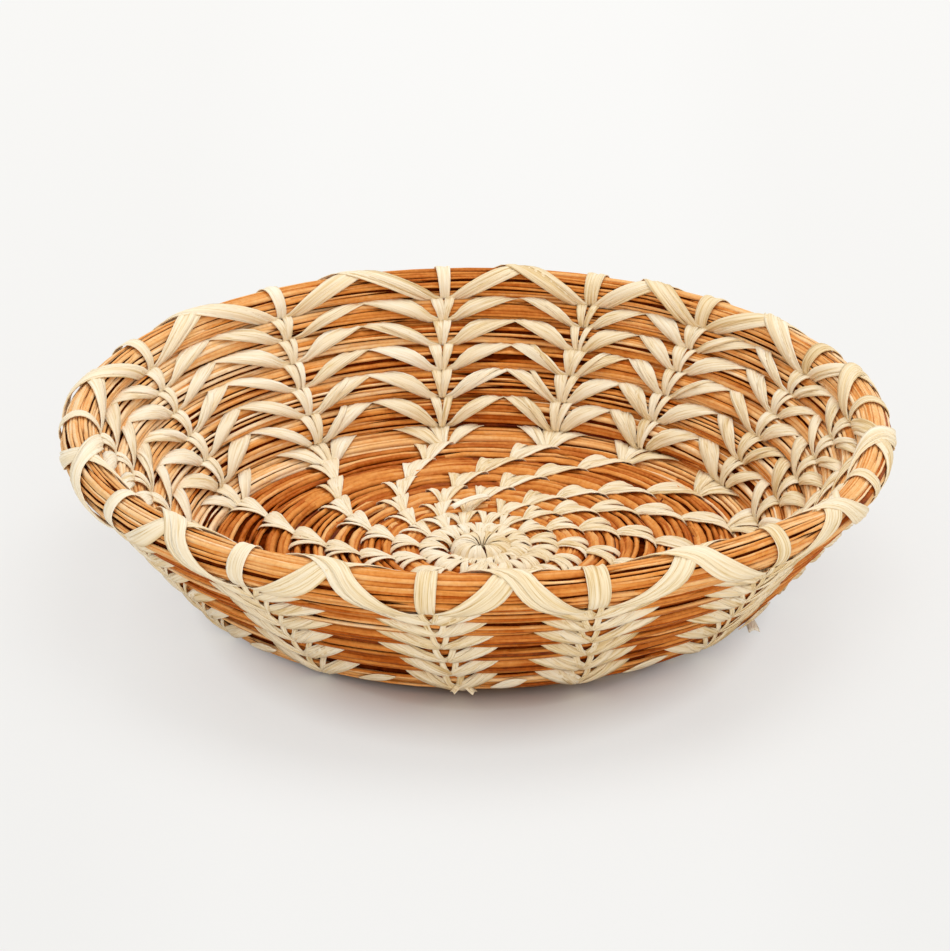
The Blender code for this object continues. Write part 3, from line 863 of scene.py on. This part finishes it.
def sew_over_rim(strips, count, ahead, widths, lift, slip=0.0, feet=(0, 1), section=bundle):
    """A strip from a hole inside, over the rim, to a hole outside, some spokes ahead."""
    def path(share):
        girth = mix(HOLE_GIRTH, 2.0 - HOLE_GIRTH, share)
        rise = rise_at(girth)
        climbed = 0.5 * rise if girth < 1.0 else 1.0 - 0.5 * rise
        done = 0.5 * (climbed + 0.5 * girth)
        done += RIM_EARLY * math.sin(math.pi * done)
        azimuth = stitch_azimuth(count + ahead * done)
        return azimuth + math.degrees(slip / section(azimuth).radius), girth

    def width(share):
        return mix(widths[0], widths[1], math.sin(math.pi * share) ** RIM_FULLNESS)

    def height(share):
        drawn = mix(RIM_END_LIFT, 1.0, smooth_step(RIM_END_SLOPE * min(share, 1.0 - share)))
        return lift * drawn + RIM_ARCH * math.sin(math.pi * share)

    # Painted shade: raffia darker at the rim's front and back
    shaded = RIM_SHADE * abs(math.sin(math.radians(stitch_azimuth(count + 0.5 * ahead))))
    strips.lay(path, width, height, long=24, across=6, tone=shaded, feet=feet, bridge=0.08, section=section)


def sew_base_stitch(strips, count, face):
    """Strips over a row of the base, opening from one hole: a fan, and a band to the next hole."""
    rng = strips.rng
    row = count // PER_ROW
    growth = (row - FIRST_ROW) / (LAST_BASE_ROW - FIRST_ROW)
    wide = mix(*STITCH_WIDTH, smooth_step(WIDTH_GROWTH * growth)) * rng.uniform(*STITCH_WIDTH_SPREAD)
    narrow = mix(*STITCH_FOOT_WIDTH, smooth_step(FOOT_WIDTH_GROWTH * growth))
    feet = (0,) if stitch_azimuth(count) - FULL_TURN > COIL_START + NO_FOOT_ANGLE else ()
    for slip, share, lift, point in BASE_FAN:
        slip += rng.uniform(-FAN_SLIP_SPREAD, FAN_SLIP_SPREAD)
        thick = share * wide * rng.uniform(*FAN_WIDTH_SPREAD)
        sew_arm(
            strips, count, face, (0.5 * slip, slip * wide), (narrow, thick), lift, feet=feet, point=point)


def sew_low_tip(strips, spoke):
    """The tip of the last base stitch, which shows along the basket's bottom edge."""
    rng = strips.rng
    count = CORNER_ROW * PER_ROW + spoke
    start, reach = rng.uniform(*LOW_TIP_STARTS), rng.uniform(*LOW_TIP_REACHES)
    wide = rng.uniform(*LOW_TIP_WIDTHS)

    def path(share):
        return stitch_azimuth(count + start + reach * share), -mix(*LOW_TIP_GIRTHS, share)

    def width(share):
        return LOW_TIP_END_WIDTH + wide * math.sin(math.pi * share)

    strips.lay(path, width, lambda share: LOW_TIP_LIFT)


def sew_base_spoke(spoke, material):
    """One spoke of the base: a stitch at every row inside and outside, and leaves and a tip at the corner."""
    strips = Strips(BASE_SEED + spoke)
    for row in range(FIRST_ROW - 1, CORNER_ROW):
        count = row * PER_ROW + spoke
        if stitch_azimuth(count) > COIL_START + NO_STITCH_ANGLE:
            for face in (1.0, -1.0):
                sew_base_stitch(strips, count, face)
    count = LAST_BASE_ROW * PER_ROW + spoke
    for hand, reach, wide in CORNER_LEAVES:
        sew_leaf(strips, count, hand, -1.0, reach, wide, CORNER_LIFT, tone=CORNER_TONE)
    sew_low_tip(strips, spoke)
    strips.finish(f"base_raffia_{spoke + 1:02d}", material, f"base_stitches_{spoke + 1:02d}")


def sew_inside_hole(strips, count):
    """Inside the wall: two short strips at a hole, and a long leaf to each side, some of them split."""
    rng = strips.rng
    reach = CORNER_REACH if count // PER_ROW == CORNER_ROW else INSIDE_REACH
    for near, far, widths, lift in INSIDE_ARMS:
        slips, wide = (rng.uniform(*near), rng.uniform(*far)), rng.uniform(*widths)
        sew_arm(strips, count, 1.0, slips, (ARM_FOOT_WIDTH, wide), lift)
    for hand in (1.0, -1.0):
        away = reach + rng.uniform(-REACH_SPREAD, REACH_SPREAD)
        wide, slip = rng.uniform(*INSIDE_LEAF_WIDTHS), rng.uniform(*INSIDE_LEAF_SLIPS)
        lift = INSIDE_LEAF_LIFT + AHEAD_LEAF_LIFT * hand
        sew_leaf(strips, count, hand, 1.0, away, wide, lift, slip=slip)
        if rng.random() < SPLIT_CHANCE:
            away *= rng.uniform(*INSIDE_SPLIT.reaches)
            wide, slip = rng.uniform(*INSIDE_SPLIT.widths), rng.uniform(*INSIDE_SPLIT.slips)
            lift, tone = INSIDE_SPLIT.lift, INSIDE_SPLIT.tone
            sew_leaf(strips, count, hand, 1.0, away, wide, lift, slip=slip, tone=tone)


def sew_outside_hole(strips, count):
    """Outside the wall: two short strips at a hole, and two leaves to each side of it."""
    rng = strips.rng
    for side in (1.0, -1.0):
        slips = [rng.uniform(*slip) * side for slip in OUTSIDE_ARM_SLIPS]
        widths = OUTSIDE_ARM_FOOT_WIDTH, rng.uniform(*OUTSIDE_ARM_WIDTHS)
        sew_arm(
            strips, count, -1.0, slips, widths, OUTSIDE_ARM_LIFT, tone=OUTSIDE_ARM_TONE, spread=1.0,
            opens=rng.uniform(*OUTSIDE_ARM_OPENS))
    for hand in (1.0, -1.0):
        reach = 1.0
        for leaf in (OUTSIDE_LEAF, OUTSIDE_SPLIT):
            reach *= rng.uniform(*leaf.reaches)
            wide, slip = rng.uniform(*leaf.widths), rng.uniform(*leaf.slips)
            sew_leaf(strips, count, hand, -1.0, reach, wide, leaf.lift, slip=slip, tone=leaf.tone)


def sew_rim_hole(strips, spoke):
    """Over the rim: a wrap at a hole, and two bands that cross on the way to the next hole."""
    rng = strips.rng
    count = RIM_ROW * PER_ROW + spoke
    sew_over_rim(strips, count, 0.0, (rng.uniform(*WRAP_NARROW), rng.uniform(*WRAP_WIDE)), WRAP_LIFT)
    last = spoke == PER_ROW - 1
    section = past_the_end if last else bundle
    for start, ahead, lift, feet in (
            (count, 1.0, UPPER_LIFT, (0,) if last else (0, 1)),
            (count + 1, -1.0, LOWER_LIFT, (1,) if last else (0, 1))):
        wide = rng.uniform(*CROSSING_WIDE)
        for side in CROSSING_STRANDS:
            sew_over_rim(
                strips, start, ahead, (CROSSING_NARROW, wide), lift + STRAND_LIFT * side,
                slip=CROSSING_SLIP * ahead + wide * side, feet=feet, section=section)


def sew_wall_spoke(spoke, material):
    """One spoke of the wall, from the corner to the strips over the rim."""
    strips = Strips(WALL_SEED + spoke)
    for row in range(CORNER_ROW, RIM_ROW):
        sew_inside_hole(strips, row * PER_ROW + spoke)
        sew_outside_hole(strips, row * PER_ROW + spoke)
    sew_rim_hole(strips, spoke)
    strips.finish(f"wall_raffia_{spoke + 1:02d}", material, f"wall_stitches_{spoke + 1:02d}")


def lay_loose_ends(material):
    """Raffia ends that were left uncut: by the knot, under the right side and at the bottom edge."""
    strips = Strips(LOOSE_SEED)
    for start, middle, end, wide, paler in LOOSE_ENDS:
        strips.lay_loose(start, middle, end, wide, paler)
    strips.finish("loose_ends", material, "base_stitches_05")


def knot_ring(_azimuth):
    """The bound ring at the very start of the coil, as a bundle's section."""
    return KNOT_RING


def wrap_knot(material):
    """The raffia strips wrapped all round the small ring at the coil's start."""
    strips = Strips(KNOT_SEED)
    rng = strips.rng
    for number in range(KNOT_WRAPS):
        at = FULL_TURN * (number + rng.uniform(-KNOT_WRAP_JITTER, KNOT_WRAP_JITTER)) / KNOT_WRAPS
        swing = rng.uniform(*KNOT_WRAP_SWINGS)
        wide = rng.uniform(*KNOT_WRAP_WIDTHS)
        raised = rng.uniform(*KNOT_WRAP_RISES)

        def path(share):
            return at + swing * share, mix(*KNOT_WRAP_GIRTHS, share)

        def width(share):
            return mix(KNOT_WRAP_FOOT, wide, smooth_step(share / KNOT_WRAP_OPENS_BY))

        def height(share):
            return raised * math.sin(math.pi * min(KNOT_WRAP_BELLY * share, KNOT_WRAP_SET)) + KNOT_WRAP_LIFT

        strips.lay(path, width, height, long=14, section=knot_ring, tone=rng.uniform(*KNOT_WRAP_TONES))
    strips.finish("knot_wrap", material, "start_knot")


def lay_knot(material):
    """The ring of needles under the knot's wrapping."""
    work = bmesh.new()
    bmesh.ops.create_circle(work, segments=KNOT_SIDES, radius=1.0)
    for vert in work.verts:
        angle = math.atan2(vert.co.y, vert.co.x)
        vert.co = on_bundle(0.0, angle, -KNOT_DEPTH, KNOT_RING)
    bmesh.ops.spin(
        work, geom=work.verts[:] + work.edges[:], cent=(0.0, 0.0, 0.0), axis=(0.0, 0.0, 1.0),
        angle=math.tau, steps=KNOT_STEPS, use_merge=True)
    bmesh.ops.remove_doubles(work, verts=work.verts, dist=SAME_POINT)
    bmesh.ops.recalc_face_normals(work, faces=work.faces)
    # In the dark inner finish: painted shade between the knot's wraps
    add_piece("knot_needles", as_mesh(work, "knot"), material, "pine_needles", "start_knot")


# Studio

def lay_floor():
    """A pale table that glows, as painted light, where the camera sees it, less so near the basket; round the
    basket's foot it is a dark warm brown, a painted contact shadow.
    """
    material, tree, shader = new_finish("pale_table")
    shader.inputs["Roughness"].default_value = 0.9
    shader.inputs["Specular IOR Level"].default_value = 0.0
    place = node(tree, "ShaderNodeTexCoord").outputs["Object"]
    sides = node(tree, "ShaderNodeSeparateXYZ", {0: place}).outputs
    # Painted light: the glow grows towards the back and at the sides, and fades near the basket
    brightness = fade(tree, sides[1], TABLE_DEPTH, TABLE_BRIGHTNESS)
    most = fade(tree, sums(tree, "ABSOLUTE", sides[0], 0.0), TABLE_SIDES, TABLE_GLOW)
    glow = node(tree, "ShaderNodeEmission", {"Color": GLOW_COLOUR, "Strength": brightness})
    oval = node(tree, "ShaderNodeMapping", {
        "Vector": place, "Location": OVAL_SHIFT, "Scale": OVAL_SCALE}).outputs[0]
    away = node(tree, "ShaderNodeVectorMath", {0: oval}, operation="LENGTH").outputs["Value"]
    spread = fade(tree, away, GLOW_EDGE, (0.0, most))
    # Painted contact shadow: the table turns a dark warm brown round the basket's foot
    painted_shadow = fade(tree, away, PAINTED_SHADOW_EDGE, (0.0, 1.0))
    colour = ramp(tree, painted_shadow, ((0.0, PAINTED_SHADOW_TABLE), (1.0, PALE_TABLE)))
    tree.links.new(colour, shader.inputs["Base Color"])
    seen = sums(tree, "MULTIPLY", node(tree, "ShaderNodeLightPath").outputs["Is Camera Ray"], spread)
    both = node(tree, "ShaderNodeMixShader", {0: seen})
    tree.links.new(shader.outputs[0], both.inputs[1])
    tree.links.new(glow.outputs[0], both.inputs[2])
    tree.links.new(both.outputs[0], tree.nodes["Material Output"].inputs["Surface"])
    work = bmesh.new()
    bmesh.ops.create_grid(work, x_segments=1, y_segments=1, size=TABLE_SIZE)
    mesh = as_mesh(work, "table")
    mesh.materials.append(material)
    table = bpy.data.objects.new("table", mesh)
    table.location = (0.0, 0.0, -TABLE_GAP)
    bpy.context.scene.collection.objects.link(table)


def add_lamp(name, place, size, power):
    """A round soft lamp that faces the basket."""
    light = bpy.data.lights.new(name, "AREA")
    light.shape = "DISK"
    light.size = size
    light.energy = power
    lamp = bpy.data.objects.new(name, light)
    lamp.location = place
    lamp.rotation_mode = "QUATERNION"
    lamp.rotation_quaternion = Vector(place).to_track_quat("Z", "Y")
    bpy.context.scene.collection.objects.link(lamp)


def light_studio():
    world = bpy.data.worlds.new("studio")
    world.use_nodes = True
    background = world.node_tree.nodes["Background"]
    background.inputs["Color"].default_value = ROOM_COLOUR
    background.inputs["Strength"].default_value = ROOM_LIGHT
    bpy.context.scene.world = world
    for name, place, size, power in LAMPS:
        add_lamp(name, place, size, power)


def add_camera():
    view = bpy.data.cameras.new("view")
    view.sensor_width = SENSOR_WIDTH
    view.lens = LENS
    camera = bpy.data.objects.new("view", view)
    elevation = math.radians(CAMERA_ELEVATION)
    camera.location = (
        0.0, -CAMERA_DISTANCE * math.cos(elevation), CAMERA_DISTANCE * math.sin(elevation))
    camera.rotation_euler = (math.radians(CAMERA_TILT), 0.0, math.radians(CAMERA_TURN))
    bpy.context.scene.collection.objects.link(camera)
    bpy.context.scene.camera = camera


def main():
    needles, inner, raffia = needle_finish(), core_shade_finish(), raffia_finish()
    lay_core(inner)
    for row in range(FIRST_ROW - 1, RIM_ROW + 1):
        name = "base_coil" if row < CORNER_ROW else "rim_coil" if row == RIM_ROW else "wall_coil"
        lay_needles(row, needles, name)
    lay_knot(inner)
    wrap_knot(raffia)
    for spoke in range(PER_ROW):
        sew_base_spoke(spoke, raffia)
        sew_wall_spoke(spoke, raffia)
    lay_loose_ends(raffia)
    lay_floor()
    light_studio()
    add_camera()
    bpy.context.scene.view_settings.view_transform = "Standard"


main()
